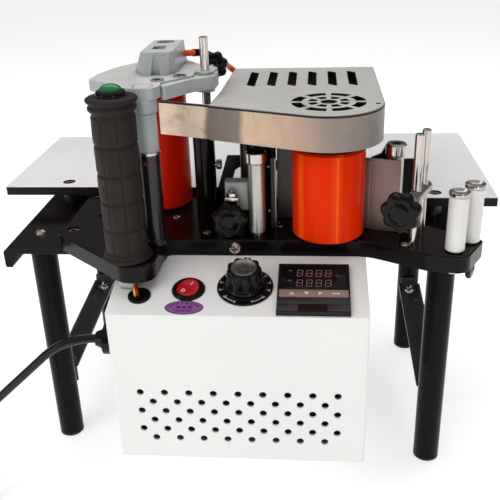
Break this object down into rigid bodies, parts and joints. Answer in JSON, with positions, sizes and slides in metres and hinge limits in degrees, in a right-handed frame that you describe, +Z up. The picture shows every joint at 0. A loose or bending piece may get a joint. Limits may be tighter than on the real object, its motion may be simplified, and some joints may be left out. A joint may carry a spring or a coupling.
{
  "type": "edge banding machine",
  "caption": "Bench-top edge banding machine with a glue head, feed and press rollers, geared drive under a cover, control box, legs and work tables.",
  "frame": {"origin": "on the floor under the middle of the bounding box", "axes": "+X to the operator's right along the work tables, -Y towards the operator and the control box, +Z up"},
  "size_m": [0.4, 0.3112, 0.335],
  "materials": {
    "black_paint": "gloss",
    "white_paint": "satin",
    "grey_paint": "satin",
    "grey_block": "satin",
    "bright_steel": "gloss",
    "dark_steel": "satin",
    "sheet_steel": "satin",
    "cast_alloy": "satin",
    "bronze": "satin",
    "red_roller": "gloss",
    "black_rubber": "matte",
    "black_plastic": "satin",
    "gloss_black_plastic": "gloss",
    "ivory_plastic": "gloss",
    "green_plastic": "gloss",
    "red_plastic": "gloss",
    "board_laminate": "satin",
    "orange_silicone": "satin",
    "board_green": "satin"
  },
  "bodies": {
    "frame": {"side_rails": "black_paint", "legs": "black_paint", "leg_end_caps": "black_rubber", "braces": "black_paint", "pan_head_screws": "bright_steel", "left_table_board": "board_laminate", "right_table_board": "board_laminate", "table_spacers": "dark_steel", "socket_screws": "bright_steel", "base_plate": "black_paint", "handle_core": "bright_steel", "handle_grip": "black_rubber", "head_post": "black_paint", "head_casting": "grey_paint", "head_arm": "grey_paint", "heater_lead": "orange_silicone", "press_roller_pin": "bright_steel", "shaft_bushes": "bronze", "gear_motor": "dark_steel", "gear_plate": "black_paint", "drive_cover": "sheet_steel", "left_column": "black_paint", "drive_column": "black_paint", "glue_pot": "cast_alloy", "heater_cartridge": "dark_steel", "guide_roller_pins": "bright_steel", "cutter_block": "grey_block", "guide_brackets": "black_paint", "fence_plate": "sheet_steel", "tape_rods": "bright_steel", "edge_roller_screws": "bright_steel", "control_box": "white_paint", "box_back_cover": "white_paint", "temperature_controller": "gloss_black_plastic", "switch_frame": "gloss_black_plastic", "speed_dial": "gloss_black_plastic", "lead_socket": "black_plastic", "cable_gland": "black_plastic", "power_cable": "black_rubber", "power_board": "board_green"},
    "button": {"handle_button": "green_plastic"},
    "rocker": {"power_rocker": "red_plastic"},
    "speed": {"speed_knob": "black_plastic"},
    "feed": {"feed_roller": "red_roller", "feed_roller_shaft": "bright_steel", "feed_gear": "dark_steel"},
    "drive": {"drive_shaft": "dark_steel"},
    "glue": {"glue_roller": "dark_steel"},
    "press": {"press_roller": "red_roller"},
    "centre_guide": {"centre_guide_roller": "bright_steel"},
    "right_guide": {"right_guide_roller": "bright_steel"},
    "front_edge": {"front_edge_roller": "ivory_plastic"},
    "rear_edge": {"rear_edge_roller": "ivory_plastic"},
    "clamp": {"rod_clamp": "bright_steel"},
    "clamp_knob": {"rod_clamp_knob": "black_plastic"},
    "gauge": {"gauge_rod": "bright_steel"},
    "arm_knob_body": {"arm_knob": "black_plastic"},
    "cutter_knob_body": {"cutter_knob": "black_plastic"}
  },
  "joints": [
    {"name": "button_press", "type": "slide", "parent": "frame", "child": "button", "axis": [0, 0, -1], "range_m": [0, 0.003]},
    {"name": "rocker_tilt", "type": "hinge", "parent": "frame", "child": "rocker", "pos_m": [-0.025, -0.13131, 0.18013], "axis": [0.7547, -0.6373, -0.1557], "range_deg": [-16, 0]},
    {"name": "speed_turn", "type": "hinge", "parent": "frame", "child": "speed", "pos_m": [0.0132, -0.12791, 0.18096], "axis": [0, -0.2373, 0.9714], "range_deg": [-150, 150]},
    {"name": "feed_spin", "type": "hinge", "parent": "frame", "child": "feed", "pos_m": [0.069, -0.081, 0.234], "axis": [0, 0, 1], "continuous": true},
    {"name": "drive_spin", "type": "hinge", "parent": "frame", "child": "drive", "pos_m": [0.01858, -0.05781, 0.281], "axis": [0, 0, 1], "continuous": true},
    {"name": "glue_spin", "type": "hinge", "parent": "frame", "child": "glue", "pos_m": [0.05577, -0.03486, 0.234], "axis": [0, 0, 1], "continuous": true},
    {"name": "press_spin", "type": "hinge", "parent": "frame", "child": "press", "pos_m": [-0.063, -0.02, 0.25], "axis": [0, 0, 1], "continuous": true},
    {"name": "centre_guide_spin", "type": "hinge", "parent": "frame", "child": "centre_guide", "pos_m": [0.0194, -0.0856, 0.23], "axis": [0, 0, 1], "continuous": true},
    {"name": "right_guide_spin", "type": "hinge", "parent": "frame", "child": "right_guide", "pos_m": [0.1155, -0.069, 0.23], "axis": [0, 0, 1], "continuous": true},
    {"name": "front_edge_spin", "type": "hinge", "parent": "frame", "child": "front_edge", "pos_m": [0.1532, -0.1097, 0.221], "axis": [0, 0, 1], "continuous": true},
    {"name": "rear_edge_spin", "type": "hinge", "parent": "frame", "child": "rear_edge", "pos_m": [0.166, -0.0944, 0.221], "axis": [0, 0, 1], "continuous": true},
    {"name": "clamp_slide", "type": "slide", "parent": "frame", "child": "clamp", "axis": [0, 0, 1], "range_m": [-0.018, 0.034]},
    {"name": "clamp_knob_turn", "type": "hinge", "parent": "clamp", "child": "clamp_knob", "pos_m": [0.1267, -0.1, 0.236], "axis": [-0.4104, -0.9119, 0], "range_deg": [0, 270]},
    {"name": "gauge_slide", "type": "slide", "parent": "frame", "child": "gauge", "axis": [0, 0, 1], "range_m": [-0.02, 0.02]},
    {"name": "arm_knob_turn", "type": "hinge", "parent": "frame", "child": "arm_knob_body", "pos_m": [-0.017, -0.055, 0.3083], "axis": [0.04, 0.9992, 0], "range_deg": [0, 270]},
    {"name": "cutter_knob_turn", "type": "hinge", "parent": "frame", "child": "cutter_knob_body", "pos_m": [0, -0.087, 0.2144], "axis": [0, -1, 0], "range_deg": [0, 270]}
  ],
  "couplings": [
    {"joint": "drive_spin", "follows": "feed_spin", "ratio": -1.4667},
    {"joint": "glue_spin", "follows": "feed_spin", "ratio": -2.2}
  ]
}
